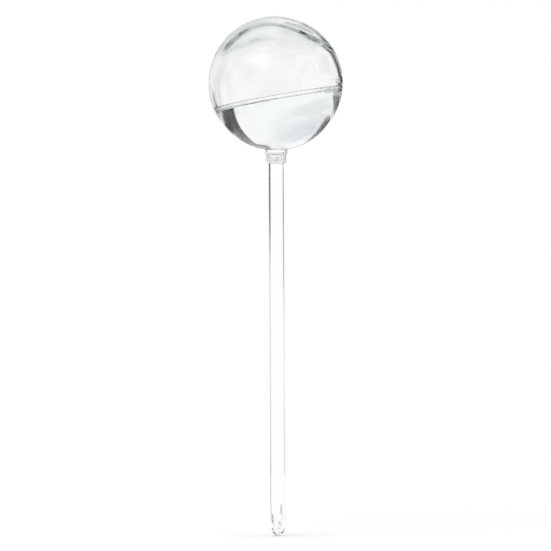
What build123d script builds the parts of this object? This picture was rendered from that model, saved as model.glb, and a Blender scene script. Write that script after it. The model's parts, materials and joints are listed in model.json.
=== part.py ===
from build123d import *

import math
import os

# A clear watering globe: a blown ball of water on a thin hollow stem that is pushed into a plant's soil.
# The ball carries a threaded collar, and the stem screws up into it against a soft washer.
# Millimetres, +Z up. The origin is the lowest point of the drip tip, on the stem's axis.
# The drip hole faces -Y. The water stands higher on the +X side, as it does when the globe leans.

# Ball, blown thicker at the crown than at the base
OVERALL_LENGTH = 270.0
GLOBE_DIAMETER = 70.0
CROWN_WALL = 3.6
BASE_WALL = 1.6

# Stem
STEM_DIAMETER = 8.0
STEM_WALL = 1.0

# Drip tip, a little narrower than the tube
TIP_STEP = 0.2
TIP_FLOOR = 3.3
TIP_PLUG_WALL = 1.35
TIP_PLUG_LENGTH = 3.0
DRIP_HOLE_DIAMETER = 2.0
DRIP_HOLE_EDGE = 0.4
DRIP_HOLE_RISE = 0.6
DRIP_HOLE_LAND = 0.5

# Screw thread, right-handed, between the stem's top and the collar
THREAD_PITCH = 1.5
THREAD_LENGTH = 3.0
THREAD_DEPTH = 0.5
THREAD_ROOT_WIDTH = 0.7
THREAD_CREST_WIDTH = 0.3
THREAD_RUNOUT = 0.5
THREAD_RELIEF = 0.25
THREAD_SHOULDER_DROP = 0.3
THREAD_SINK = 0.1
STEM_THREAD_START = 0.0
COLLAR_THREAD_START = 180.0

# Washer
SEAL_THICKNESS = 1.4
SEAL_BORE_STEP = 0.2
SEAL_EDGE = 0.25

# Collar
COLLAR_WALL = 1.1
COLLAR_ROOF = 1.0
COLLAR_LIP = 0.1
COLLAR_EDGE = 0.4
BEAD_STEP = 0.75
BEAD_SEAT_STEP = 0.2
BEAD_LENGTH = 2.4
SPIGOT_WALL = 1.55

# Water: its surface lies below the middle of the hollow, leans, and climbs the wall at its edge
WATER_DROP = 7.9
WATER_LEAN = 9.7
WATER_CLIMB = 2.2
WATER_CLIMB_WIDTH = 2.6

# Clearances
BOND_GAP = 0.05
SEAL_GAP = 0.1
THREAD_GAP = 0.15
WATER_GAP = 0.25

# Ball and hollow
globe_radius = GLOBE_DIAMETER / 2
globe_base_z = OVERALL_LENGTH - GLOBE_DIAMETER
globe_center_z = OVERALL_LENGTH - globe_radius
hollow_radius = (GLOBE_DIAMETER - CROWN_WALL - BASE_WALL) / 2
hollow_base_z = globe_base_z + BASE_WALL
hollow_center_z = hollow_base_z + hollow_radius

# Stem and thread, with the collar's socket round them
stem_radius = STEM_DIAMETER / 2
bore_radius = stem_radius - STEM_WALL
thread_core_radius = stem_radius - THREAD_RELIEF
thread_crest_radius = thread_core_radius + THREAD_DEPTH
socket_radius = thread_crest_radius + THREAD_GAP
collar_radius = socket_radius + COLLAR_WALL
seal_bore_radius = bore_radius + SEAL_BORE_STEP
spigot_radius = seal_bore_radius + SPIGOT_WALL

# Heights of the neck, stacked down from the ball
collar_roof_z = globe_base_z - COLLAR_ROOF
seal_top_z = collar_roof_z - SEAL_GAP
seal_base_z = seal_top_z - SEAL_THICKNESS
stem_top_z = seal_base_z - SEAL_GAP
thread_base_z = stem_top_z - THREAD_RUNOUT - THREAD_LENGTH
collar_base_z = thread_base_z - THREAD_ROOT_WIDTH / 2 - COLLAR_LIP
stem_shoulder_z = collar_base_z - THREAD_SHOULDER_DROP

# Drip tip, stacked up from its rounded floor
tip_radius = stem_radius - TIP_STEP
plug_radius = bore_radius - BOND_GAP
tip_bore_radius = plug_radius - TIP_PLUG_WALL
tip_floor_center_z = TIP_FLOOR + tip_bore_radius
drip_hole_radius = DRIP_HOLE_DIAMETER / 2
drip_hole_z = tip_floor_center_z + DRIP_HOLE_RISE + drip_hole_radius
tip_top_z = drip_hole_z + drip_hole_radius + DRIP_HOLE_LAND
plug_top_z = tip_top_z + TIP_PLUG_LENGTH


def turned(outline):
    """A solid of revolution about Z from a closed outline of radius and height."""
    return revolve(make_face(Plane.XZ * outline), Axis.Z)


def thread_ridge(root_radius, crest_radius, start_angle):
    """One helical ridge of the thread, sunk a little into the wall that carries it."""
    depth = crest_radius - root_radius
    sink = math.copysign(THREAD_SINK, depth)
    crest_half = THREAD_CREST_WIDTH / 2
    flank_slope = (THREAD_ROOT_WIDTH - THREAD_CREST_WIDTH) / 2 / THREAD_DEPTH
    root_half = THREAD_ROOT_WIDTH / 2 + THREAD_SINK * flank_slope
    path = Helix(THREAD_PITCH, THREAD_LENGTH, root_radius)
    section_plane = Plane(origin=path @ 0, x_dir=(1, 0, 0), z_dir=path % 0)
    outline = Polyline(
        (-sink, -root_half),
        (depth, -crest_half),
        (depth, crest_half),
        (-sink, root_half),
        close=True,
    )
    ridge = sweep(section_plane * make_face(outline), path=path, is_frenet=True)
    return Pos(0, 0, thread_base_z) * Rot(0, 0, start_angle) * ridge


def make_globe():
    """The blown ball: an outer sphere, a hollow set a little lower, and a round mouth at the base."""
    ball = Pos(0, 0, globe_center_z) * Sphere(globe_radius)
    hollow = Pos(0, 0, hollow_center_z) * Sphere(hollow_radius)
    mouth = Pos(0, 0, globe_base_z) * Cylinder(spigot_radius + BOND_GAP, globe_radius)
    return ball - hollow - mouth


def seat_height(radius):
    """Height of the bonded seat under the ball, at a distance from the axis."""
    seat_radius = globe_radius + BOND_GAP
    return globe_center_z - math.sqrt(seat_radius**2 - radius**2)


def make_neck_collar():
    """The collar under the ball: a spigot in the mouth, a rounded bead, and a threaded socket."""
    bead_seat_radius = collar_radius + BEAD_SEAT_STEP
    bead_base_z = globe_base_z - BEAD_LENGTH
    edge_top_z = collar_base_z + COLLAR_EDGE
    edge_radius = collar_radius - COLLAR_EDGE
    seat_middle_radius = (spigot_radius + bead_seat_radius) / 2
    spigot_seat = (spigot_radius, seat_height(spigot_radius))
    seat_middle = (seat_middle_radius, seat_height(seat_middle_radius))
    bead_seat = (bead_seat_radius, seat_height(bead_seat_radius))
    bead_middle = (collar_radius + BEAD_STEP, (bead_base_z + bead_seat[1]) / 2)
    outline = ThreePointArc(spigot_seat, seat_middle, bead_seat)
    outline += ThreePointArc(bead_seat, bead_middle, (collar_radius, bead_base_z))
    outline += Line((collar_radius, bead_base_z), (collar_radius, edge_top_z))
    outline += RadiusArc((collar_radius, edge_top_z), (edge_radius, collar_base_z), COLLAR_EDGE)
    outline += Polyline(
        (edge_radius, collar_base_z),
        (socket_radius, collar_base_z),
        (socket_radius, collar_roof_z),
        (seal_bore_radius, collar_roof_z),
        (seal_bore_radius, hollow_base_z),
        (spigot_radius, hollow_base_z),
        spigot_seat,
    )
    return turned(outline) + thread_ridge(socket_radius, socket_radius - THREAD_DEPTH, COLLAR_THREAD_START)


def make_neck_seal():
    """The soft washer between the collar's roof and the stem's top."""
    outer_radius = socket_radius - BOND_GAP
    outline = Polyline(
        (seal_bore_radius, seal_base_z),
        (outer_radius, seal_base_z),
        (outer_radius, seal_top_z),
        (seal_bore_radius, seal_top_z),
        close=True,
    )
    washer = turned(outline)
    return fillet(washer.edges().filter_by(GeomType.CIRCLE), SEAL_EDGE)


def make_stem_tube():
    """The long tube, turned down a little at its top for the outside thread."""
    outline = Polyline(
        (bore_radius, tip_top_z),
        (stem_radius, tip_top_z),
        (stem_radius, stem_shoulder_z),
        (thread_core_radius, stem_shoulder_z + THREAD_RELIEF),
        (thread_core_radius, stem_top_z),
        (bore_radius, stem_top_z),
        close=True,
    )
    return turned(outline) + thread_ridge(thread_core_radius, thread_crest_radius, STEM_THREAD_START)


def make_drip_tip():
    """The rounded end: a thick nose, a plug bonded in the tube, and one drip hole in its side."""
    outline = CenterArc((0, tip_radius), tip_radius, -90, 90)
    outline += Polyline(
        (tip_radius, tip_radius),
        (tip_radius, tip_top_z),
        (plug_radius, tip_top_z),
        (plug_radius, plug_top_z),
        (tip_bore_radius, plug_top_z),
        (tip_bore_radius, tip_floor_center_z),
    )
    outline += CenterArc((0, tip_floor_center_z), tip_bore_radius, -90, 90)
    outline += Line((0, 0), (0, TIP_FLOOR))
    facing_front = Pos(0, 0, drip_hole_z) * Rot(90, 0, 0)
    outwards = (Align.CENTER, Align.CENTER, Align.MIN)
    holed = turned(outline) - facing_front * Cylinder(drip_hole_radius, STEM_DIAMETER, align=outwards)
    rim = holed.edges().sort_by(Axis.Y)[0]
    return fillet(rim, DRIP_HOLE_EDGE)


def make_globe_water():
    """The water in the ball: a dome of the hollow's shape under a leaning surface with a curved edge."""
    dome_radius = hollow_radius - WATER_GAP
    edge_z = WATER_CLIMB - WATER_DROP
    edge_radius = math.sqrt(dome_radius**2 - edge_z**2)
    flat_radius = edge_radius - WATER_CLIMB_WIDTH
    dome_angle = math.degrees(math.atan2(edge_z, edge_radius)) + 90
    outline = CenterArc((0, 0), dome_radius, -90, dome_angle)
    outline += TangentArc((flat_radius, -WATER_DROP), (edge_radius, edge_z), tangent=(1, 0))
    outline += Polyline((flat_radius, -WATER_DROP), (0, -WATER_DROP), (0, -dome_radius))
    return Pos(0, 0, hollow_center_z) * Rot(0, -WATER_LEAN, 0) * turned(outline)


def make_stem_water():
    """The water column that fills the drip tip, the tube, the washer and the collar's spigot."""
    narrow_radius = tip_bore_radius - WATER_GAP
    wide_radius = bore_radius - WATER_GAP
    step_z = plug_top_z + WATER_GAP
    top_z = hollow_base_z - WATER_GAP
    outline = CenterArc((0, tip_floor_center_z), narrow_radius, -90, 90)
    outline += Polyline(
        (narrow_radius, tip_floor_center_z),
        (narrow_radius, step_z),
        (wide_radius, step_z),
        (wide_radius, top_z),
        (0, top_z),
        (0, tip_floor_center_z - narrow_radius),
    )
    return turned(outline)


sub_parts = {
    "globe": make_globe(),
    "neck_collar": make_neck_collar(),
    "neck_seal": make_neck_seal(),
    "stem_tube": make_stem_tube(),
    "drip_tip": make_drip_tip(),
    "globe_water": make_globe_water(),
    "stem_water": make_stem_water(),
}

os.makedirs("parts", exist_ok=True)
for node, shape in sub_parts.items():
    export_step(shape, f"parts/{node}.step")
    print(f"{node}: {shape.volume:.1f} cubic mm")
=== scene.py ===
# %% [markdown]
# # A clear watering globe, step by step
#
# The object is a blown ball, about a third full of water, on a long thin stem that is pushed into a pot's
# soil. Everything in it is clear, so the lesson is about clear things: how to model the walls and the water
# so that light bends as it does in the real ones, and how to give glass something to show.
# The imported model is the fixed frame. It is loaded first.

# %% The frame
import json
import math

import bpy
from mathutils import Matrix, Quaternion, Vector


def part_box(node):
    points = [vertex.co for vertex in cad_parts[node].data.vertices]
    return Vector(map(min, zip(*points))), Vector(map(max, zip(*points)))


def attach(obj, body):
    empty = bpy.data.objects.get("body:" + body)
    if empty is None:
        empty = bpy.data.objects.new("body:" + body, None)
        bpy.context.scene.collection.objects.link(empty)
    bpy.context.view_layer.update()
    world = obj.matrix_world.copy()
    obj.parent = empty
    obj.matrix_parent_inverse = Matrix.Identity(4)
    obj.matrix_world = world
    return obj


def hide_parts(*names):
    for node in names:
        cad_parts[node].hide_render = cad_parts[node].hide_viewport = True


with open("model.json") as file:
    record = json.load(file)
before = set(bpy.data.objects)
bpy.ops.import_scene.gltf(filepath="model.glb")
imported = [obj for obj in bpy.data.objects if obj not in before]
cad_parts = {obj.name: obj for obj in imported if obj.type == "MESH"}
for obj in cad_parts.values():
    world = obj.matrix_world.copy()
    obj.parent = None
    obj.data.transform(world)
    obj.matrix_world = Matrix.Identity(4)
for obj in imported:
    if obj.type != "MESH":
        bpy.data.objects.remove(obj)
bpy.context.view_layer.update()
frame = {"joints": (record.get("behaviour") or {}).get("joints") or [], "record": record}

# %% [markdown]
# ## Sizes
#
# The outer sizes and heights are read from the nodes' boxes, the stem's mount and the water's joint, so that
# the pieces made here sit exactly where the solid ones are. Only what no box shows, such as a wall, is
# written here.

# %% Sizes read from the frame
MM = 0.001

globe_low, globe_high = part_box("globe")
collar_low, collar_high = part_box("neck_collar")
seal_low, seal_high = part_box("neck_seal")
stem_low, stem_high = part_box("stem_tube")
_, tip_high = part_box("drip_tip")
joints = {joint["name"]: joint for joint in frame["joints"]}
stem_mount = frame["record"]["mounts"][0]

globe_radius = (globe_high.x - globe_low.x) / 2
globe_center_z = globe_high.z - globe_radius
globe_base_z = globe_center_z - globe_radius
hollow_center_z = joints["water_level"]["pos_m"][2]
hollow_radius = hollow_center_z - collar_high.z
stem_radius = stem_mount["dims"]["r_mm"] * MM
thread_crest_radius = stem_high.x
bead_radius = collar_high.x
seal_radius = seal_high.x
tip_radius = tip_high.x
print("Ball radius", round(globe_radius, 4), "hollow radius", round(hollow_radius, 4))
print("Stem radius", stem_radius, "from", round(stem_low.z, 4), "to", round(stem_high.z, 4))

# %% Sizes that no box shows
STEM_WALL = 1.0 * MM
WATERWAY_STEP = 0.2 * MM
THREAD_PITCH = 1.5 * MM
THREAD_TURNS = 2
THREAD_DEPTH = 0.5 * MM
THREAD_GAP = 0.15 * MM
THREAD_RUNOUT = 0.5 * MM

bore_radius = stem_radius - STEM_WALL
waterway_radius = bore_radius + WATERWAY_STEP
thread_core_radius = thread_crest_radius - THREAD_DEPTH
socket_radius = thread_crest_radius + THREAD_GAP
thread_base_z = stem_high.z - THREAD_RUNOUT - THREAD_TURNS * THREAD_PITCH
print("Bore radius", bore_radius, "socket radius", round(socket_radius, 5))

# %% [markdown]
# ## The camera
#
# The picture is a catalogue view from straight ahead, with a long lens and almost no perspective. The camera
# stands level with the middle of the object and aims a hair to its left, as the picture is framed. A small
# roll stands the stem as the picture has it. The size of the view gives the distance.

# %% Camera
VIEW_SIZE = 286.5 * MM
LENS_MM = 400
SENSOR_MM = 36
CAMERA_HEIGHT = 135 * MM
AIM = Vector((-0.63 * MM, 0, 135.05 * MM))
CAMERA_ROLL = math.radians(-0.3)

scene = bpy.context.scene
camera_distance = VIEW_SIZE * LENS_MM / SENSOR_MM
camera_place = Vector((AIM.x, -camera_distance, CAMERA_HEIGHT))
bpy.ops.object.camera_add(location=camera_place)
camera = bpy.context.object
camera.data.lens = LENS_MM
camera.data.sensor_width = SENSOR_MM
camera.rotation_euler = (AIM - camera_place).to_track_quat("-Z", "Y").to_euler()
camera.rotation_euler.rotate_axis("Z", CAMERA_ROLL)
scene.camera = camera
scene.view_settings.view_transform = "Standard"
print("Camera", round(camera_distance, 3), "m away")

# %% [markdown]
# ## Light paths
#
# A ray through the neck crosses the walls of the collar and the stem and the water inside, and some of it is
# mirrored on the way. With the usual limits it would stop there and leave a dark spot, so the limits are
# raised.

# %% Light paths
CLEAR_BOUNCES = 32

scene.cycles.max_bounces = CLEAR_BOUNCES
scene.cycles.transmission_bounces = CLEAR_BOUNCES
scene.cycles.glossy_bounces = CLEAR_BOUNCES
print("Light may pass", CLEAR_BOUNCES, "clear surfaces")

# %% [markdown]
# ## Node helpers
#
# Materials and surroundings are made of nodes. Small helpers keep the later cells short: one fills an input
# with a number or a link, one adds a Math node, one adds a smooth fade between two values, and one lays a
# colour over another. A Mix node keeps sockets for numbers, vectors and colours side by side, so its colours
# go by their places.


# %% Node helpers
def set_input(tree, socket, value):
    """Give an input a plain value, or link another node's output to it."""
    if isinstance(value, bpy.types.NodeSocket):
        tree.links.new(value, socket)
    else:
        socket.default_value = value


def add_math(tree, operation, *values):
    """A Math node, with numbers or outputs as its inputs."""
    node = tree.nodes.new("ShaderNodeMath")
    node.operation = operation
    for socket, value in zip(node.inputs, values):
        set_input(tree, socket, value)
    return node.outputs["Value"]


def add_fade(tree, value, start, end):
    """Nothing at start and one at end, with a smooth change between; start may be above end."""
    node = tree.nodes.new("ShaderNodeMapRange")
    node.interpolation_type = "SMOOTHSTEP"
    set_input(tree, node.inputs["Value"], value)
    set_input(tree, node.inputs["From Min"], start)
    set_input(tree, node.inputs["From Max"], end)
    return node.outputs["Result"]


MIX_UNDER = 6
MIX_OVER = 7
MIX_RESULT = 2


def add_blend(tree, amount, under, over):
    """A colour laid over another one by an amount."""
    node = tree.nodes.new("ShaderNodeMix")
    node.data_type = "RGBA"
    set_input(tree, node.inputs["Factor"], amount)
    set_input(tree, node.inputs[MIX_UNDER], under)
    set_input(tree, node.inputs[MIX_OVER], over)
    return node.outputs[MIX_RESULT]


print("Node helpers ready")

# %% [markdown]
# ## The studio
#
# A clear thing has no colour of its own. Its dark lines are dark things round it, bent into view by its
# edges. A photographer lights it from a white room and stands black and grey cards beside it, out of the
# picture. The world here is that room. A card is a patch of the sky, given by its direction in degrees:
# azimuth 0 is straight behind the object and 90 is to its right. All the cards are one node group, each with
# its own values.

# %% The card group
CARD_INPUTS = (
    "Azimuth", "Elevation", "Middle", "Spread", "Bottom", "Top",
    "Side Softness", "Bottom Softness", "Top Softness",
)
HALF_TURN = 180

card_group = bpy.data.node_groups.new("studio_card", "ShaderNodeTree")
for name in CARD_INPUTS:
    card_group.interface.new_socket(name=name, in_out="INPUT", socket_type="NodeSocketFloat")
card_group.interface.new_socket(name="Mask", in_out="OUTPUT", socket_type="NodeSocketFloat")
card_in = card_group.nodes.new("NodeGroupInput").outputs
turned_off = add_math(card_group, "SUBTRACT", card_in["Azimuth"], card_in["Middle"])
wrapped = add_math(card_group, "WRAP", turned_off, HALF_TURN, -HALF_TURN)
aside = add_math(card_group, "ABSOLUTE", wrapped)
side_end = add_math(card_group, "SUBTRACT", card_in["Spread"], card_in["Side Softness"])
side_mask = add_fade(card_group, aside, card_in["Spread"], side_end)
foot_end = add_math(card_group, "ADD", card_in["Bottom"], card_in["Bottom Softness"])
foot_mask = add_fade(card_group, card_in["Elevation"], card_in["Bottom"], foot_end)
head_end = add_math(card_group, "SUBTRACT", card_in["Top"], card_in["Top Softness"])
head_mask = add_fade(card_group, card_in["Elevation"], card_in["Top"], head_end)
upright_mask = add_math(card_group, "MULTIPLY", foot_mask, head_mask)
card_mask = add_math(card_group, "MULTIPLY", side_mask, upright_mask)
card_out = card_group.nodes.new("NodeGroupOutput").inputs
card_group.links.new(card_mask, card_out["Mask"])
print("Card group has", len(card_group.nodes), "nodes")

# %% The room and its directions
world = bpy.data.worlds.new("white_room")
scene.world = world
world.use_nodes = True
room = world.node_tree
room.nodes.clear()
direction = room.nodes.new("ShaderNodeTexCoord").outputs["Generated"]
along = room.nodes.new("ShaderNodeSeparateXYZ")
room.links.new(direction, along.inputs["Vector"])
azimuth_radians = add_math(room, "ARCTAN2", along.outputs["X"], along.outputs["Y"])
azimuth = add_math(room, "DEGREES", azimuth_radians)
elevation_radians = add_math(room, "ARCSINE", along.outputs["Z"])
elevation = add_math(room, "DEGREES", elevation_radians)
print("Room directions ready")

# %% Walls, white with faint patches that the empty part of the ball shows
WALL_LIGHT = (1, 1, 1, 1)
WALL_SHADE = (0.91, 0.915, 0.915, 1)
PATCH_SCALE = 15.0
PATCH_DETAIL = 1.0
PATCH_EDGE = (0.35, 0.65)
PATCH_RISE = (1.3, 2.1)
PATCH_FALL = (16, 9)

patches = room.nodes.new("ShaderNodeTexNoise")
patches.inputs["Scale"].default_value = PATCH_SCALE
patches.inputs["Detail"].default_value = PATCH_DETAIL
room.links.new(direction, patches.inputs["Vector"])
patchy = add_fade(room, patches.outputs["Fac"], *PATCH_EDGE)
patch_rise = add_fade(room, elevation, *PATCH_RISE)
patch_fall = add_fade(room, elevation, *PATCH_FALL)
patch_band = add_math(room, "MULTIPLY", patch_rise, patch_fall)
patch_mask = add_math(room, "MULTIPLY", patchy, patch_band)
studio = add_blend(room, patch_mask, WALL_LIGHT, WALL_SHADE)
print("Walls ready")

# %% [markdown]
# ## Cards of the room
#
# The cards are laid over the walls one by one. Water in a ball shows the room upside down and the wrong way
# round, so a card high up on the left shows low down on the right. Water in a stem only turns it round.
# Under the water's surface there is a mirror, which shows what lies a little below the horizon.


# %% A card of the room
def room_mask(middle, spread, rise, soft):
    """Mask of a card: its middle and spread in azimuth, its rise in elevation, and its softness.

    The spread is half the width. The softness is given for the sides, the foot and the head.
    """
    node = room.nodes.new("ShaderNodeGroup")
    node.node_tree = card_group
    values = (azimuth, elevation, middle, spread, *rise, *soft)
    for name, value in zip(CARD_INPUTS, values):
        set_input(room, node.inputs[name], value)
    return node.outputs["Mask"]


def lay_card(under, colour, cover, **card):
    """The room with one more card in it, whose colour covers what is under it by an amount."""
    return add_blend(room, add_math(room, "MULTIPLY", room_mask(**card), cover), under, (*colour, 1))


print("Helpers for the room's cards ready")

# %% Cards of the room
BLACK = (0.015, 0.017, 0.018)
OLIVE = (0.34, 0.35, 0.27)
GREY = (0.30, 0.31, 0.31)
PALE_BLUE = (0.66, 0.70, 0.73)
CREAM = (1.0, 0.96, 0.84)

# Pale blue for the water, and for the mirror under its surface
studio = lay_card(studio, PALE_BLUE, cover=0.95, middle=-20, spread=28, rise=(7, 54), soft=(22, 28, 22))
studio = lay_card(studio, PALE_BLUE, cover=0.5, middle=-16, spread=22, rise=(-30, -2.6), soft=(16, 16, 4.5))
# Grey for both edges of the stem
for side in (-34, 34):
    studio = lay_card(studio, GREY, cover=0.45, middle=side, spread=9, rise=(-2.8, 1.4), soft=(3, 0.6, 0.6))
# Olive, black and cream on the left, for the right end of the water
studio = lay_card(studio, OLIVE, cover=0.5, middle=-50, spread=12, rise=(-12, 20), soft=(10, 10, 10))
studio = lay_card(studio, BLACK, cover=0.95, middle=-45, spread=11, rise=(18, 54), soft=(4, 14, 4))
studio = lay_card(studio, CREAM, cover=1, middle=-40, spread=8, rise=(12, 25), soft=(4, 4, 4))
# Black and grey to the sides, for the ball's edges when it is seen from another side
studio = lay_card(studio, BLACK, cover=0.8, middle=-135, spread=9, rise=(-1.6, 36), soft=(5, 5, 5))
studio = lay_card(studio, GREY, cover=0.8, middle=92, spread=7, rise=(-1.6, 36), soft=(5, 5, 5))
studio = lay_card(studio, GREY, cover=0.4, middle=-80, spread=16, rise=(2, 34), soft=(8, 8, 8))
# Black high up on the right
studio = lay_card(studio, BLACK, cover=0.9, middle=47, spread=42, rise=(46, 98), soft=(6, 6, 6))
print("Room has", len(room.nodes), "nodes with its cards")

# %% [markdown]
# ## What each kind of ray sees
#
# Only clear and shiny surfaces see the cards. The camera sees plain white, and plain white lights the rest.
# A bright softbox shows in reflections alone, so that it puts a gleam on the glass and no glare behind it.

# %% What each kind of ray sees
SOFTBOX_LIGHT = 5.0
PLAIN = (1, 1, 1, 1)

softbox_mask = room_mask(middle=-150, spread=9, rise=(30, 62), soft=(6, 6, 6))
softbox = (SOFTBOX_LIGHT, SOFTBOX_LIGHT, SOFTBOX_LIGHT, 1)
shiny_view = add_blend(room, softbox_mask, studio, softbox)
kind = room.nodes.new("ShaderNodeLightPath").outputs
seen = add_blend(room, kind["Is Glossy Ray"], PLAIN, shiny_view)
seen = add_blend(room, kind["Is Transmission Ray"], seen, studio)
seen = add_blend(room, kind["Is Camera Ray"], seen, PLAIN)
background = room.nodes.new("ShaderNodeBackground")
room.links.new(seen, background.inputs["Color"])
world_out = room.nodes.new("ShaderNodeOutputWorld")
room.links.new(background.outputs["Background"], world_out.inputs["Surface"])
print("Room has", len(room.nodes), "nodes in all")

# %% [markdown]
# ## The floor
#
# The floor is a pale disc just under the tip. Near the object it is matt, so it takes the shadow. Further
# out it fades to the white of the room, so that no edge shows. A few helpers come first: they start a
# material, mix two shaders, put one out, and see to it that an operator acts on one piece alone.


# %% Helpers for materials and pieces
def new_tree(name):
    """A material with an empty node tree."""
    material = bpy.data.materials.new(name)
    material.use_nodes = True
    material.node_tree.nodes.clear()
    return material, material.node_tree


def mix_shaders(tree, amount, under, over):
    """A shader laid over another one by an amount."""
    mix = tree.nodes.new("ShaderNodeMixShader")
    for socket, value in zip(mix.inputs, (amount, under, over)):
        tree.links.new(value, socket)
    return mix.outputs["Shader"]


def put_out(tree, shader):
    """Make a shader the material's surface, and return the inputs of the output node."""
    ends = tree.nodes.new("ShaderNodeOutputMaterial").inputs
    tree.links.new(shader, ends["Surface"])
    return ends


def start_piece():
    """Leave edit mode and deselect everything, so that the next operator acts on its own piece alone."""
    if bpy.context.object is not None and bpy.context.object.mode == "EDIT":
        bpy.ops.object.mode_set(mode="OBJECT")
    bpy.ops.object.select_all(action="DESELECT")


print("Helpers for materials and pieces ready")

# %% Floor
FLOOR_RADIUS = 1.0
FLOOR_CORNERS = 96
FLOOR_DROP = 0.3 * MM
FLOOR_WHITE = (0.94, 0.94, 0.94, 1)
FADE_START = 0.2
FADE_END = 0.5

start_piece()
bpy.ops.mesh.primitive_circle_add(
    vertices=FLOOR_CORNERS, radius=FLOOR_RADIUS, fill_type="NGON", location=(0, 0, -FLOOR_DROP)
)
floor = bpy.context.object
floor.name = "floor"
floor_paint, floor_tree = new_tree("matt_white_floor")
floor_place = floor_tree.nodes.new("ShaderNodeTexCoord").outputs["Object"]
floor_reach = floor_tree.nodes.new("ShaderNodeVectorMath")
floor_reach.operation = "LENGTH"
floor_tree.links.new(floor_place, floor_reach.inputs["Vector"])
floor_fade = add_fade(floor_tree, floor_reach.outputs["Value"], FADE_START, FADE_END)
matt = floor_tree.nodes.new("ShaderNodeBsdfDiffuse")
matt.inputs["Color"].default_value = FLOOR_WHITE
glow = floor_tree.nodes.new("ShaderNodeEmission")
put_out(floor_tree, mix_shaders(floor_tree, floor_fade, matt.outputs["BSDF"], glow.outputs["Emission"]))
floor.data.materials.append(floor_paint)
print("Floor", FLOOR_RADIUS, "m in radius")

# %% [markdown]
# ## Standing cards
#
# The sky is endlessly far away, so a card in it looks the same from the ball and from the foot of the stem.
# Other cards stand close by, at an arm's length or less, like real ones. The ball and the top of the stem
# show those that are as high as the neck, and the lower stem looks under them. That is why the stem's lines
# fade towards its foot. A card has soft edges, throws no shadow, and shows only in clear and shiny surfaces.


# %% One card
def edge_fade(tree, value, low_soft, high_soft):
    """One in the middle of a card's map, with a soft fade at its low and high edges."""
    low = add_fade(tree, value, 0, low_soft)
    high = add_fade(tree, value, 1, 1 - high_soft)
    return add_math(tree, "MULTIPLY", low, high)


def make_card(name, colour, cover, place, facing, size, side_soft, end_soft):
    """A card with soft edges that shows only in clear and shiny surfaces."""
    start_piece()
    bpy.ops.mesh.primitive_plane_add(size=1, location=place)
    card = bpy.context.object
    card.name = name
    card.scale = (*size, 1)
    card.rotation_euler = facing.to_euler()
    paint, tree = new_tree(name)
    across = tree.nodes.new("ShaderNodeSeparateXYZ")
    tree.links.new(tree.nodes.new("ShaderNodeTexCoord").outputs["UV"], across.inputs["Vector"])
    sides = edge_fade(tree, across.outputs["X"], *side_soft)
    ends = edge_fade(tree, across.outputs["Y"], *end_soft)
    mask = add_math(tree, "MULTIPLY", add_math(tree, "MULTIPLY", sides, ends), cover)
    nothing = tree.nodes.new("ShaderNodeBsdfTransparent")
    face = tree.nodes.new("ShaderNodeEmission")
    face.inputs["Color"].default_value = (*colour, 1)
    put_out(tree, mix_shaders(tree, mask, nothing.outputs["BSDF"], face.outputs["Emission"]))
    card.data.materials.append(paint)
    card.visible_camera = False
    card.visible_diffuse = False
    card.visible_shadow = False
    print("Card", name, "at", [round(value, 3) for value in place])
    return card


print("Helper for soft cards ready")

# %% Upright and level cards
FLAT_SIDE_SOFT = (0.25, 0.25)
FLAT_END_SOFT = (0.2, 0.2)


def stand_card(name, colour, cover, distance, turn, width, heights, side_soft, end_soft, tilt=0):
    """A card that stands upright between two heights and faces the object."""
    angle = math.radians(turn)
    bottom, top = heights
    place = (distance * math.sin(angle), distance * math.cos(angle), (bottom + top) / 2)
    facing = Vector((-math.sin(angle), -math.cos(angle), 0)).to_track_quat("Z", "Y")
    tilted = facing @ Quaternion((0, 0, 1), math.radians(tilt))
    make_card(name, colour, cover, place, tilted, (width, top - bottom), side_soft, end_soft)


def lay_flat(name, colour, cover, height, distance, turn, size):
    """A card that lies level, with one side towards the object."""
    angle = math.radians(turn)
    place = (distance * math.sin(angle), distance * math.cos(angle), height)
    facing = Quaternion((0, 0, 1), -angle)
    return make_card(name, colour, cover, place, facing, size, FLAT_SIDE_SOFT, FLAT_END_SOFT)


print("Level cards are soft by", FLAT_SIDE_SOFT, "and", FLAT_END_SOFT, "of their size")

# %% Cards beside the neck
DARK_OLIVE = (0.06, 0.065, 0.035)

stand_card("right_card", BLACK, cover=0.98, distance=0.4, turn=32.5, width=0.18,
           heights=(0.13, 0.80), side_soft=(0.08, 0.4), end_soft=(0.09, 0.1), tilt=3)
stand_card("left_card", OLIVE, cover=0.9, distance=0.4, turn=-40, width=0.16,
           heights=(0.09, 0.26), side_soft=(0.4, 0.4), end_soft=(0.5, 0.4))
stand_card("right_neck_card", BLACK, cover=0.97, distance=0.3, turn=33, width=0.125,
           heights=(0.14, 0.22), side_soft=(0.15, 0.1), end_soft=(0.65, 0.05))
stand_card("left_neck_card", DARK_OLIVE, cover=0.95, distance=0.3, turn=-37, width=0.105,
           heights=(0.04, 0.205), side_soft=(0.15, 0.15), end_soft=(0.75, 0.1))
stand_card("cream_card", CREAM, cover=1, distance=0.3, turn=-28, width=0.06,
           heights=(0.05, 0.14), side_soft=(0.3, 0.3), end_soft=(0.3, 0.3))
stand_card("right_low_card", GREY, cover=0.9, distance=0.15, turn=37, width=0.06,
           heights=(0.0, 0.06), side_soft=(0.2, 0.2), end_soft=(0.01, 0.7))

# %% [markdown]
# ## Cards for the other sides
#
# Seen from another side, the stem's edges look at other parts of the room. Narrow grey cards and two mats on
# the floor stand and lie there, so that the stem keeps its outline when the object is turned. Two black
# cards lie level under the ball. They are hidden from light that has passed through glass, so they show only
# as reflections.

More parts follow.
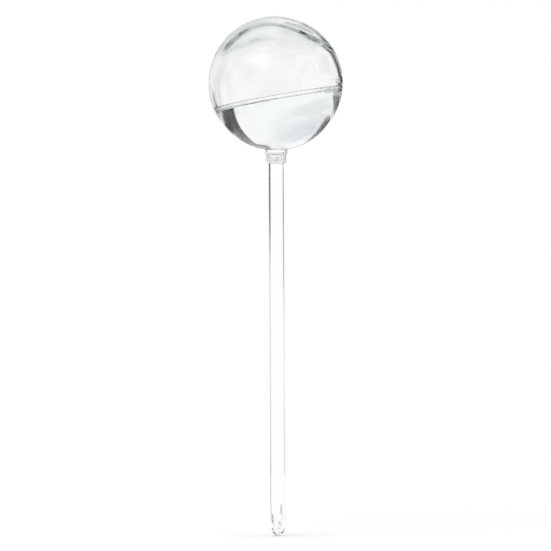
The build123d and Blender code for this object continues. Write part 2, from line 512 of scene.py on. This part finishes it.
# %% Cards for the other sides
SIDE_CARDS = ((0.42, -56), (0.15, -124), (0.07, 101), (0.07, 169))
SIDE_WIDTH_SHARE = 0.3
UNDER_HEIGHT = 0.187
MAT_RISE = 0.5 * MM

for distance, turn in SIDE_CARDS:
    stand_card(f"side_card_{turn}", GREY, cover=0.7, distance=distance, turn=turn,
               width=SIDE_WIDTH_SHARE * distance, heights=(0.0, 0.195),
               side_soft=(0.2, 0.2), end_soft=(0.01, 0.1))
for turn in (-52, 52):
    under_card = lay_flat(f"under_card_{turn}", BLACK, cover=0.9, height=UNDER_HEIGHT,
                          distance=0.10, turn=turn, size=(0.11, 0.12))
    under_card.visible_transmission = False
for turn in (-11, -79):
    lay_flat(f"floor_mat_{turn}", GREY, cover=0.55, height=MAT_RISE,
             distance=0.245, turn=turn, size=(0.06, 0.43))

# %% [markdown]
# ## The lamp
#
# The white room lights the object from all sides. One large soft lamp, high up on the left and in front,
# gives the light a direction.

# %% Lamp
LAMP_PLACE = Vector((-0.5, -0.7, 1.1))
LAMP_SIZE = 0.8
LAMP_WATTS = 2.5

bpy.ops.object.light_add(type="AREA", location=LAMP_PLACE)
lamp = bpy.context.object
lamp.data.shape = "DISK"
lamp.data.size = LAMP_SIZE
lamp.data.energy = LAMP_WATTS
lamp.rotation_euler = (AIM - LAMP_PLACE).to_track_quat("-Z", "Y").to_euler()
print("Lamp of", LAMP_WATTS, "W")

# %% [markdown]
# ## Clear finishes
#
# Blown glass, moulded plastic and water are clear in different ways. The glass has slow waves from the
# blowing, the plastic has fine flow marks from its mould, and the water is still. All three share one group,
# which makes waves for a Bump node and a little haze for the roughness, and each finish gives it its own
# values. How strongly each bends light is a plain number on its shader, and the tint that a thick edge shows
# is a plain colour of its volume.

# %% The clear surface group
SURFACE_INPUTS = ("Wave Scale", "Stretch", "Haze Scale", "Haze Low", "Haze High")
WAVE_DETAIL = 1.0

wave_group = bpy.data.node_groups.new("clear_surface", "ShaderNodeTree")
for name in SURFACE_INPUTS:
    wave_group.interface.new_socket(name=name, in_out="INPUT", socket_type="NodeSocketFloat")
for name in ("Height", "Roughness"):
    wave_group.interface.new_socket(name=name, in_out="OUTPUT", socket_type="NodeSocketFloat")
wave_in = wave_group.nodes.new("NodeGroupInput").outputs
wave_place = wave_group.nodes.new("ShaderNodeTexCoord").outputs["Object"]
stretch = wave_group.nodes.new("ShaderNodeCombineXYZ")
stretch.inputs["X"].default_value = 1
stretch.inputs["Y"].default_value = 1
wave_group.links.new(wave_in["Stretch"], stretch.inputs["Z"])
stretched = wave_group.nodes.new("ShaderNodeVectorMath")
stretched.operation = "MULTIPLY"
wave_group.links.new(wave_place, stretched.inputs[0])
wave_group.links.new(stretch.outputs["Vector"], stretched.inputs[1])
waves = wave_group.nodes.new("ShaderNodeTexNoise")
waves.inputs["Detail"].default_value = WAVE_DETAIL
wave_group.links.new(stretched.outputs["Vector"], waves.inputs["Vector"])
wave_group.links.new(wave_in["Wave Scale"], waves.inputs["Scale"])
haze = wave_group.nodes.new("ShaderNodeTexNoise")
wave_group.links.new(wave_place, haze.inputs["Vector"])
wave_group.links.new(wave_in["Haze Scale"], haze.inputs["Scale"])
hazed = wave_group.nodes.new("ShaderNodeMapRange")
wave_group.links.new(haze.outputs["Fac"], hazed.inputs["Value"])
wave_group.links.new(wave_in["Haze Low"], hazed.inputs["To Min"])
wave_group.links.new(wave_in["Haze High"], hazed.inputs["To Max"])
wave_out = wave_group.nodes.new("NodeGroupOutput").inputs
wave_group.links.new(waves.outputs["Fac"], wave_out["Height"])
wave_group.links.new(hazed.outputs["Result"], wave_out["Roughness"])
print("Clear surface group has", len(wave_group.nodes), "nodes")


# %% Clear materials
def place_surface(tree, wave_scale, stretch_z, haze_scale, haze_range):
    """The clear surface group, placed in a material with its own values."""
    surface = tree.nodes.new("ShaderNodeGroup")
    surface.node_tree = wave_group
    for name, value in zip(SURFACE_INPUTS, (wave_scale, stretch_z, haze_scale, *haze_range)):
        surface.inputs[name].default_value = value
    return surface.outputs


def add_bump(tree, height, depth):
    """The normal of a surface whose waves are as high as the given depth."""
    bump = tree.nodes.new("ShaderNodeBump")
    bump.inputs["Distance"].default_value = depth
    tree.links.new(height, bump.inputs["Height"])
    return bump.outputs["Normal"]


CLEAR_HAZE_SCALE = 60


def clear_finish(name, ior, shine, tint, density, wave_scale, wave_depth, stretch_z, haze_range):
    """A clear material: refraction, faint waves and haze, and a tint that grows with thickness."""
    material, tree = new_tree(name)
    surface = place_surface(tree, wave_scale, stretch_z, CLEAR_HAZE_SCALE, haze_range)
    shader = tree.nodes.new("ShaderNodeBsdfPrincipled")
    shader.inputs["Base Color"].default_value = (1, 1, 1, 1)
    shader.inputs["Transmission Weight"].default_value = 1
    shader.inputs["IOR"].default_value = ior
    shader.inputs["Specular Tint"].default_value = shine
    tree.links.new(surface["Roughness"], shader.inputs["Roughness"])
    tree.links.new(add_bump(tree, surface["Height"], wave_depth), shader.inputs["Normal"])
    tinting = tree.nodes.new("ShaderNodeVolumeAbsorption")
    tinting.inputs["Color"].default_value = (*tint, 1)
    tinting.inputs["Density"].default_value = density
    ends = put_out(tree, shader.outputs["BSDF"])
    tree.links.new(tinting.outputs["Volume"], ends["Volume"])
    print("Finish", name, "bends light by", ior)
    return material


print("Helpers for clear finishes ready, with haze of scale", CLEAR_HAZE_SCALE)

# %% Glass, plastic and water
DRY_SHINE = (0.25, 0.25, 0.25, 1)
WET_SHINE = (0, 0, 0, 1)
GLASS_TINT = (0.40, 0.47, 0.45)
PLASTIC_TINT = (0.86, 0.96, 0.92)
WATER_TINT = (0.82, 0.94, 0.93)

blown_glass = clear_finish(
    "blown_glass", ior=1.5, shine=DRY_SHINE, tint=GLASS_TINT, density=18,
    wave_scale=60, wave_depth=0.04 * MM, stretch_z=1, haze_range=(0.0, 0.006),
)
clear_moulding = clear_finish(
    "clear_moulding", ior=1.49, shine=DRY_SHINE, tint=PLASTIC_TINT, density=12,
    wave_scale=90, wave_depth=0.02 * MM, stretch_z=0.08, haze_range=(0.0, 0.01),
)
still_water = clear_finish(
    "still_water", ior=1.333, shine=WET_SHINE, tint=WATER_TINT, density=3,
    wave_scale=40, wave_depth=0.01 * MM, stretch_z=1, haze_range=(0.0, 0.002),
)

# %% [markdown]
# ## Silicone
#
# The washer is nearly clear, but soft silicone is a little milky and has a fine matt grain. It takes the
# same group with a much finer pattern, and the grain also varies its colour.

# %% Silicone
SILICONE_PALE = (0.94, 0.95, 0.95, 1)
SILICONE_MILKY = (0.99, 0.99, 0.99, 1)
SILICONE_GRAIN = 0.015 * MM
SILICONE_CLEARNESS = 0.95
SILICONE_IOR = 1.41

soft_silicone, silicone_tree = new_tree("soft_silicone")
silicone_surface = place_surface(
    silicone_tree, wave_scale=2500, stretch_z=1, haze_scale=400, haze_range=(0.06, 0.16)
)
silicone_grain = silicone_surface["Height"]
silicone_colour = add_blend(silicone_tree, silicone_grain, SILICONE_PALE, SILICONE_MILKY)
silicone_normal = add_bump(silicone_tree, silicone_grain, SILICONE_GRAIN)
silicone_shader = silicone_tree.nodes.new("ShaderNodeBsdfPrincipled")
silicone_shader.inputs["Transmission Weight"].default_value = SILICONE_CLEARNESS
silicone_shader.inputs["IOR"].default_value = SILICONE_IOR
silicone_shader.inputs["Specular Tint"].default_value = DRY_SHINE
silicone_tree.links.new(silicone_colour, silicone_shader.inputs["Base Color"])
silicone_tree.links.new(silicone_surface["Roughness"], silicone_shader.inputs["Roughness"])
silicone_tree.links.new(silicone_normal, silicone_shader.inputs["Normal"])
put_out(silicone_tree, silicone_shader.outputs["BSDF"])
print("Finish soft_silicone bends light by", SILICONE_IOR)

# %% [markdown]
# ## Turned pieces
#
# The collar, the washer, the tube, the tip and both bodies of water are round, as if turned on a lathe. Each
# starts as one point. The point is extruded along an outline of radius and height, and the outline is spun
# once round. A ring of points close beside an edge keeps the long walls straight in their shading.


# %% Outlines and spinning
MERGE = 0.002 * MM


def arc_points(center, radius, start_degrees, end_degrees, steps):
    """Points on an arc of an outline. Nought degrees points away from the axis, and 90 up."""
    points = []
    for step in range(steps + 1):
        angle = math.radians(start_degrees + (end_degrees - start_degrees) * step / steps)
        points.append((center[0] + radius * math.cos(angle), center[1] + radius * math.sin(angle)))
    return points


def turn_outline(name, outline, steps):
    """A piece spun round the Z axis from an outline of radius and height."""
    start_piece()
    bpy.ops.mesh.primitive_plane_add(size=MM, location=(0, 0, 0))
    piece = bpy.context.object
    piece.name = name
    bpy.ops.object.mode_set(mode="EDIT")
    bpy.ops.mesh.select_all(action="SELECT")
    bpy.ops.mesh.merge(type="CENTER")
    bpy.ops.transform.translate(value=(outline[0][0], 0, outline[0][1]))
    for (radius, height), (next_radius, next_height) in zip(outline, outline[1:]):
        step = (next_radius - radius, 0, next_height - height)
        bpy.ops.mesh.extrude_region_move(TRANSFORM_OT_translate={"value": step})
    bpy.ops.mesh.select_all(action="SELECT")
    bpy.ops.mesh.spin(steps=steps, angle=2 * math.pi, center=(0, 0, 0), axis=(0, 0, 1))
    bpy.ops.mesh.select_all(action="SELECT")
    bpy.ops.mesh.remove_doubles(threshold=MERGE)
    bpy.ops.mesh.normals_make_consistent(inside=False)
    bpy.ops.object.mode_set(mode="OBJECT")
    return piece


print("Points closer than", round(MERGE / MM, 3), "mm become one")

# %% Finishing a piece
SMOOTH_ANGLE = math.radians(35)


def pick(piece):
    """Select one piece alone and make it active."""
    start_piece()
    piece.select_set(True)
    bpy.context.view_layer.objects.active = piece


def finish_piece(piece, material, body, node):
    """Smooth a piece, give it its finish, and let it stand for its node on its body."""
    pick(piece)
    bpy.ops.object.shade_smooth_by_angle(angle=SMOOTH_ANGLE)
    piece.data.materials.clear()
    piece.data.materials.append(material)
    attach(piece, body)
    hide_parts(node)
    print(piece.name, "has", len(piece.data.polygons), "faces")


print("Edges up to", round(math.degrees(SMOOTH_ANGLE)), "degrees are smoothed")

# %% [markdown]
# ## The ball
#
# The ball is blown, so its wall is never even: thin at the base and sides, and thick with slow waves at the
# crown, where the glass was gathered last. Two spheres make it, each cut open at the mouth, and their two
# rims are bridged. The inner sphere is set a little lower than the outer one, and then its upper part is
# pushed in and out. The lower part stays a true sphere, because the water slides along it when the globe
# leans.

# %% Two open spheres
SPHERE_SEGMENTS = 256
SPHERE_RINGS = 128
SPIGOT_WALL = 1.55 * MM
BOND = 0.05 * MM

mouth_radius = waterway_radius + SPIGOT_WALL + BOND


def open_sphere(radius, center_z):
    """A sphere with its base cut off where it is as wide as the mouth."""
    start_piece()
    bpy.ops.mesh.primitive_uv_sphere_add(
        segments=SPHERE_SEGMENTS, ring_count=SPHERE_RINGS, radius=radius, location=(0, 0, center_z)
    )
    bpy.ops.object.transform_apply(location=True, rotation=False, scale=False)
    cut_z = center_z - math.sqrt(radius**2 - mouth_radius**2)
    bpy.ops.object.mode_set(mode="EDIT")
    bpy.ops.mesh.select_all(action="SELECT")
    bpy.ops.mesh.bisect(plane_co=(0, 0, cut_z), plane_no=(0, 0, 1), clear_inner=True)
    bpy.ops.object.mode_set(mode="OBJECT")
    return bpy.context.object


outer_sphere = open_sphere(globe_radius, globe_center_z)
inner_sphere = open_sphere(hollow_radius, hollow_center_z)
print("Spheres cut at a mouth of radius", round(mouth_radius, 5))

# %% One shell
pick(outer_sphere)
inner_sphere.select_set(True)
bpy.ops.object.join()
globe = bpy.context.object
globe.name = "globe_blown"
bpy.ops.object.mode_set(mode="EDIT")
bpy.ops.mesh.select_mode(type="EDGE")
bpy.ops.mesh.select_all(action="DESELECT")
bpy.ops.mesh.select_non_manifold()
bpy.ops.mesh.bridge_edge_loops()
bpy.ops.mesh.select_mode(type="VERT")
bpy.ops.mesh.select_all(action="SELECT")
bpy.ops.mesh.normals_make_consistent(inside=False)
bpy.ops.object.mode_set(mode="OBJECT")
print("Shell of", len(globe.data.vertices), "points")

# %% [markdown]
# ## The uneven wall
#
# A vertex group gives each point of the inner wall a weight, and a Displace modifier pushes it by that
# weight. Three groups do the work: a pad at the crown, a thinner side on the right, and slow ridges over the
# crown. The weights depend on a point's direction from the middle of the hollow, where 1 is straight up or
# straight to the right.


# %% Weighing and pushing
INNER_WALL_REACH = 0.5 * MM


def weigh_points(piece, name, weight_at):
    """A vertex group whose weights come from each point's direction in the hollow."""
    group = piece.vertex_groups.new(name=name)
    middle = Vector((0, 0, hollow_center_z))
    shell_radius = hollow_radius + INNER_WALL_REACH
    for vertex in piece.data.vertices:
        away = vertex.co - middle
        if away.length > shell_radius:
            continue
        weight = weight_at(away.normalized())
        if weight > 0:
            group.add([vertex.index], weight, "REPLACE")


def ease(value, start, end):
    """Nought before start, one after end, and a smooth rise between."""
    share = min(max((value - start) / (end - start), 0), 1)
    return share * share * (3 - 2 * share)


def push_points(piece, group_name, depth):
    """Push a group of points along their normals, by their weights."""
    pick(piece)
    push = piece.modifiers.new(group_name, "DISPLACE")
    push.vertex_group = group_name
    push.strength = depth
    push.mid_level = 0
    bpy.ops.object.modifier_apply(modifier=push.name)
    print("Pushed", group_name, "by", round(depth / MM, 2), "mm")


print("Inner wall taken up to", round(INNER_WALL_REACH / MM, 2), "mm past the hollow")

# %% Crown, thin side and waves
CROWN_PAD = 1.1 * MM
CROWN_RISE = (0.45, 0.9)
THIN_SIDE = -0.8 * MM
SIDE_REACH = (0.3, 0.72)
SIDE_RISE = (0.0, 0.14)
CROWN_WAVES = 0.35 * MM
WAVE_RISE = (0.45, 0.75)
WAVE_END = (0.75, 0.5)
WAVE_SHARE = 0.34
WANDER_DEPTH = 0.06
WANDER_RATE = 4


def crown_weight(away):
    """A pad that grows towards the top."""
    return ease(away.z, *CROWN_RISE)


def side_weight(away):
    """A hollow on the right, above the water."""
    return ease(away.x, *SIDE_REACH) * ease(away.z, *SIDE_RISE)


def wave_weight(away):
    """Slow ridges over the crown, which wander, and fade out down the ball and towards its thin side."""
    wander = WANDER_DEPTH * math.sin(WANDER_RATE * away.x)
    ridges = (1 + math.cos(2 * math.pi * (away.y + wander) / WAVE_SHARE)) / 2
    return ridges * ease(away.z, *WAVE_RISE) * ease(away.x, *WAVE_END)


weigh_points(globe, "crown", crown_weight)
weigh_points(globe, "thin_side", side_weight)
weigh_points(globe, "waves", wave_weight)
push_points(globe, "crown", CROWN_PAD)
push_points(globe, "thin_side", THIN_SIDE)
push_points(globe, "waves", CROWN_WAVES)
finish_piece(globe, blown_glass, "globe", "globe")

# %% [markdown]
# ## Threads
#
# The stem screws into the collar. Each thread is one ridge with a flat crest: four corners, swept up and
# round by a Screw modifier, capped at both ends and sunk a hair into its wall, then united with it.


# %% Joining and cutting solids
def unite(piece, other, operation):
    """Join another solid to a piece, or cut it out, and drop the other solid."""
    pick(piece)
    joint = piece.modifiers.new("joint", "BOOLEAN")
    joint.operation = operation
    joint.solver = "EXACT"
    joint.object = other
    bpy.ops.object.modifier_apply(modifier=joint.name)
    bpy.data.objects.remove(other)


print("Helper for joining and cutting ready")

# %% Thread ridge
THREAD_ROOT_WIDTH = 0.7 * MM
THREAD_CREST_WIDTH = 0.3 * MM
THREAD_SINK = 0.1 * MM
THREAD_STEPS = 72


def add_thread(piece, root_radius, crest_radius, start_degrees):
    """Unite a piece with the helical ridge of its thread."""
    foot_radius = root_radius + math.copysign(THREAD_SINK, root_radius - crest_radius)
    root_half = THREAD_ROOT_WIDTH / 2
    crest_half = THREAD_CREST_WIDTH / 2
    corners = (
        (foot_radius, thread_base_z - root_half),
        (crest_radius, thread_base_z - crest_half),
        (foot_radius, thread_base_z + root_half),
        (crest_radius, thread_base_z + crest_half),
    )
    start_piece()
    bpy.ops.mesh.primitive_plane_add(size=MM, location=(0, 0, 0))
    ridge = bpy.context.object
    for vertex, (radius, height) in zip(ridge.data.vertices, corners):
        vertex.co = (radius, 0, height)
    bpy.ops.object.mode_set(mode="EDIT")
    bpy.ops.mesh.select_all(action="SELECT")
    bpy.ops.mesh.delete(type="ONLY_FACE")
    bpy.ops.object.mode_set(mode="OBJECT")
    winding = ridge.modifiers.new("winding", "SCREW")
    winding.screw_offset = THREAD_PITCH
    winding.iterations = THREAD_TURNS
    winding.steps = THREAD_STEPS
    winding.render_steps = THREAD_STEPS
    bpy.ops.object.modifier_apply(modifier=winding.name)
    bpy.ops.object.mode_set(mode="EDIT")
    bpy.ops.mesh.select_all(action="SELECT")
    bpy.ops.mesh.remove_doubles(threshold=MERGE)
    bpy.ops.mesh.fill_holes(sides=len(corners))
    bpy.ops.mesh.select_all(action="SELECT")
    bpy.ops.mesh.normals_make_consistent(inside=False)
    bpy.ops.object.mode_set(mode="OBJECT")
    ridge.rotation_euler.z = math.radians(start_degrees)
    unite(piece, ridge, "UNION")
    print("Thread of", THREAD_TURNS, "turns on", piece.name)


print("Thread helper ready, with", THREAD_STEPS, "steps a turn")

# %% [markdown]
# ## The collar
#
# The collar is moulded in clear plastic. A spigot goes up into the ball's mouth, a rounded bead covers the
# joint, and the socket below it has an inside thread. Where two clear pieces are bonded, one is made to
# overlap the other by a few hundredths of a millimetre. A gap of air there would shine like a mirror, which
# a bonded joint does not.

# %% Collar outline
COLLAR_WALL = 1.1 * MM
COLLAR_ROOF = 1.0 * MM
BEAD_LENGTH = 2.4 * MM
BEAD_SEAT_STEP = 0.2 * MM
BEAD_STEPS = 14


def sphere_height(center_z, radius, away):
    """Height of a sphere's underside at a distance from the axis."""
    return center_z - math.sqrt(radius**2 - away**2)


collar_radius = socket_radius + COLLAR_WALL
collar_roof_z = globe_base_z - COLLAR_ROOF
spigot_radius = mouth_radius + BOND
seat_sphere = globe_radius - BOND
bead_seat_radius = collar_radius + BEAD_SEAT_STEP
bead_base_z = globe_base_z - BEAD_LENGTH
bead_top_z = sphere_height(globe_center_z, seat_sphere, bead_seat_radius)
bead_middle_z = (bead_base_z + bead_top_z) / 2
bead_half = (bead_top_z - bead_base_z) / 2

bead = []
for step in range(BEAD_STEPS + 1):
    angle = math.radians(90 - 180 * step / BEAD_STEPS)
    foot = bead_seat_radius if angle > 0 else collar_radius
    bead.append((foot + (bead_radius - foot) * math.cos(angle), bead_middle_z + bead_half * math.sin(angle)))
spigot_edge = (spigot_radius, sphere_height(hollow_center_z, hollow_radius, spigot_radius))
waterway_edge = (waterway_radius, sphere_height(hollow_center_z, hollow_radius, waterway_radius))
print("Collar", round(2 * collar_radius, 5), "m across, bead", round(2 * bead_radius, 5))

# %% Collar
LATHE_STEPS = 128
COLLAR_EDGE = 0.4 * MM
COLLAR_EDGE_STEPS = 6
COLLAR_THREAD_START = 180
HOLD = 0.06 * MM

collar_edge_center = (collar_radius - COLLAR_EDGE, collar_low.z + COLLAR_EDGE)
collar_outline = [(waterway_radius, collar_roof_z + HOLD), (waterway_radius, waterway_edge[1] - HOLD)]
collar_outline += [waterway_edge, spigot_edge]
collar_outline += [(spigot_radius, sphere_height(globe_center_z, seat_sphere, spigot_radius))]
collar_outline += bead
collar_outline += [(collar_radius, bead_base_z - HOLD), (collar_radius, collar_low.z + COLLAR_EDGE + HOLD)]
collar_outline += arc_points(collar_edge_center, COLLAR_EDGE, 0, -90, COLLAR_EDGE_STEPS)
collar_outline += [(socket_radius + HOLD, collar_low.z), (socket_radius, collar_low.z)]
collar_outline += [(socket_radius, collar_low.z + HOLD), (socket_radius, collar_roof_z - HOLD)]
collar_outline += [(socket_radius, collar_roof_z), (waterway_radius, collar_roof_z)]
collar_outline += [collar_outline[0]]
collar = turn_outline("collar_moulded", collar_outline, LATHE_STEPS)
add_thread(collar, socket_radius, socket_radius - THREAD_DEPTH, COLLAR_THREAD_START)
finish_piece(collar, clear_moulding, "globe", "neck_collar")

# %% [markdown]
# ## The washer
#
# A soft washer of translucent silicone lies between the collar's roof and the stem's top.
# Its edges are rounded.

# %% Washer
SEAL_EDGE = 0.25 * MM
SEAL_EDGE_STEPS = 5

seal_outline = []
seal_corners = (
    (seal_radius - SEAL_EDGE, seal_low.z + SEAL_EDGE, -90),
    (seal_radius - SEAL_EDGE, seal_high.z - SEAL_EDGE, 0),
    (waterway_radius + SEAL_EDGE, seal_high.z - SEAL_EDGE, 90),
    (waterway_radius + SEAL_EDGE, seal_low.z + SEAL_EDGE, 180),
)
for radius, height, start in seal_corners:
    seal_outline += arc_points((radius, height), SEAL_EDGE, start, start + 90, SEAL_EDGE_STEPS)
seal_outline += [seal_outline[0]]
seal = turn_outline("seal_washer", seal_outline, LATHE_STEPS)
finish_piece(seal, soft_silicone, "seal", "neck_seal")

# %% [markdown]
# ## The stem
#
# The stem is a drawn tube. At its top it is turned down a little for the thread. Its long wall is two rings
# of points, with a holding ring near each end, because a straight wall needs no more.

# %% Stem
SHOULDER_DROP = 0.3 * MM
STEM_THREAD_START = 0

shoulder_z = collar_low.z - SHOULDER_DROP
thread_relief = stem_radius - thread_core_radius
thread_foot_z = shoulder_z + thread_relief

stem_outline = [(bore_radius, stem_low.z), (stem_radius, stem_low.z), (stem_radius, stem_low.z + HOLD)]
stem_outline += [(stem_radius, shoulder_z - HOLD), (stem_radius, shoulder_z)]
stem_outline += [(thread_core_radius, thread_foot_z)]
stem_outline += [(thread_core_radius, thread_foot_z + HOLD), (thread_core_radius, stem_high.z - HOLD)]
stem_outline += [(thread_core_radius, stem_high.z), (bore_radius, stem_high.z)]
stem_outline += [(bore_radius, stem_high.z - HOLD), (bore_radius, stem_low.z + HOLD)]
stem_outline += [stem_outline[0]]
stem = turn_outline("stem_drawn", stem_outline, LATHE_STEPS)
add_thread(stem, thread_core_radius, thread_crest_radius, STEM_THREAD_START)
finish_piece(stem, clear_moulding, "stem", "stem_tube")

# %% [markdown]
# ## The drip tip
#
# The tip is a thick rounded nose with a plug that is bonded into the tube. One small hole in its front lets
# the water seep out. The hole is cut with a turned cutter that flares like a trumpet, so its rim comes out
# rounded.

# %% Tip
TIP_FLOOR = 3.3 * MM
TIP_PLUG_WALL = 1.35 * MM
SHOULDER_OVERLAP = 0.03 * MM
NOSE_STEPS = 24
BORE_STEPS = 12

tip_bore_radius = bore_radius - BOND - TIP_PLUG_WALL
tip_floor_center_z = TIP_FLOOR + tip_bore_radius
plug_radius = bore_radius + BOND
tip_shoulder_z = stem_low.z + SHOULDER_OVERLAP

tip_outline = arc_points((0, tip_radius), tip_radius, -90, 0, NOSE_STEPS)
tip_outline += [(tip_radius, tip_radius + HOLD), (tip_radius, tip_shoulder_z - HOLD)]
tip_outline += [(tip_radius, tip_shoulder_z), (plug_radius, tip_shoulder_z)]
tip_outline += [(plug_radius, tip_shoulder_z + HOLD), (plug_radius, tip_high.z - HOLD)]
tip_outline += [(plug_radius, tip_high.z), (tip_bore_radius, tip_high.z)]
tip_outline += [(tip_bore_radius, tip_high.z - HOLD), (tip_bore_radius, tip_floor_center_z + HOLD)]
tip_outline += arc_points((0, tip_floor_center_z), tip_bore_radius, 0, -90, BORE_STEPS)
tip = turn_outline("tip_rounded", tip_outline, LATHE_STEPS)
print("Tip to", round(tip_high.z, 4))

# %% Drip hole
DRIP_HOLE_RADIUS = 1.0 * MM
DRIP_HOLE_RISE = 0.6 * MM
DRIP_HOLE_EDGE = 0.4 * MM
FLARE_SINK = 0.15 * MM
FLARE_STEPS = 8
HOLE_STEPS = 64

drip_hole_z = tip_floor_center_z + DRIP_HOLE_RISE + DRIP_HOLE_RADIUS
flare_center = (DRIP_HOLE_RADIUS + DRIP_HOLE_EDGE, tip_radius - DRIP_HOLE_EDGE - FLARE_SINK)
hole_outline = [(0, 0), (DRIP_HOLE_RADIUS, 0)]
hole_outline += arc_points(flare_center, DRIP_HOLE_EDGE, 180, 90, FLARE_STEPS)
hole_outline += [(DRIP_HOLE_RADIUS + DRIP_HOLE_EDGE, 2 * tip_radius), (0, 2 * tip_radius)]
hole_cutter = turn_outline("hole_cutter", hole_outline, HOLE_STEPS)
hole_cutter.rotation_euler.x = math.radians(90)
hole_cutter.location.z = drip_hole_z
unite(tip, hole_cutter, "DIFFERENCE")
print("Drip hole at", round(drip_hole_z, 4))
finish_piece(tip, clear_moulding, "stem", "drip_tip")

# %% [markdown]
# ## The water
#
# The water in the ball has a flat surface that climbs the wall at its edge and ends there in a small rounded
# rim. The surface leans, as it does when the globe is tilted. Water wets the glass, so its dome reaches a
# tenth of a millimetre into the wall: light then leaves the glass and enters the water in one step, with no
# film of air between.

# %% Outline of the water in the ball
WATER_OVERLAP = 0.1 * MM
WATER_DROP = 7.9 * MM
WATER_CLIMB = 2.2 * MM
WATER_CLIMB_WIDTH = 2.6 * MM
DOME_STEPS = 72
CLIMB_STEPS = 16
RIM_RADIUS = 0.7 * MM
RIM_START_DEGREES = 90
RIM_END_DEGREES = 150
RIM_STEPS = 6

dome_radius = hollow_radius + WATER_OVERLAP
edge_z = WATER_CLIMB - WATER_DROP
edge_radius = math.sqrt(dome_radius**2 - edge_z**2)
flat_radius = edge_radius - WATER_CLIMB_WIDTH
edge_degrees = math.degrees(math.atan2(edge_z, edge_radius))
rim_center = (edge_radius, edge_z - RIM_RADIUS)
rim_points = arc_points(rim_center, RIM_RADIUS, RIM_START_DEGREES, RIM_END_DEGREES, RIM_STEPS)
climb_width = rim_points[-1][0] - flat_radius
climb = rim_points[-1][1] + WATER_DROP

water_outline = arc_points((0, 0), dome_radius, -90, edge_degrees, DOME_STEPS)
water_outline += rim_points[1:]
for step in range(1, CLIMB_STEPS + 1):
    share = 1 - step / CLIMB_STEPS
    water_outline.append((flat_radius + climb_width * share, climb * share**2 - WATER_DROP))
water_outline += [(flat_radius - HOLD, -WATER_DROP), (0, -WATER_DROP)]
print("Water's edge climbs", round(climb / MM, 2), "mm to its rim")

# %% Water in the ball
WATER_LEAN = math.radians(-9.7)

globe_water = turn_outline("water_in_globe", water_outline, SPHERE_SEGMENTS)
globe_water.rotation_euler.y = WATER_LEAN
globe_water.location.z = hollow_center_z
pick(globe_water)
bpy.ops.object.transform_apply(location=True, rotation=True, scale=False)
finish_piece(globe_water, still_water, "water", "globe_water")

# %% Water in the stem
NECK_STEPS = 6

stem_water_radius = bore_radius + BOND
neck_water_radius = waterway_radius + BOND
tip_water_radius = tip_bore_radius + BOND
plug_water_z = tip_high.z - SHOULDER_OVERLAP
neck_water_z = stem_high.z - SHOULDER_OVERLAP

column = arc_points((0, tip_floor_center_z), tip_water_radius, -90, 0, BORE_STEPS)
column += [(tip_water_radius, tip_floor_center_z + HOLD), (tip_water_radius, tip_high.z - HOLD)]
column += [(tip_water_radius, plug_water_z), (stem_water_radius, plug_water_z)]
column += [(stem_water_radius, tip_high.z + HOLD), (stem_water_radius, neck_water_z - HOLD)]
column += [(stem_water_radius, neck_water_z), (neck_water_radius, neck_water_z)]
column += [(neck_water_radius, neck_water_z + HOLD)]
for step in range(NECK_STEPS + 1):
    away = neck_water_radius * (1 - step / NECK_STEPS)
    column.append((away, sphere_height(hollow_center_z, hollow_radius, away)))
stem_water = turn_outline("water_in_stem", column, LATHE_STEPS)
finish_piece(stem_water, still_water, "stem", "stem_water")
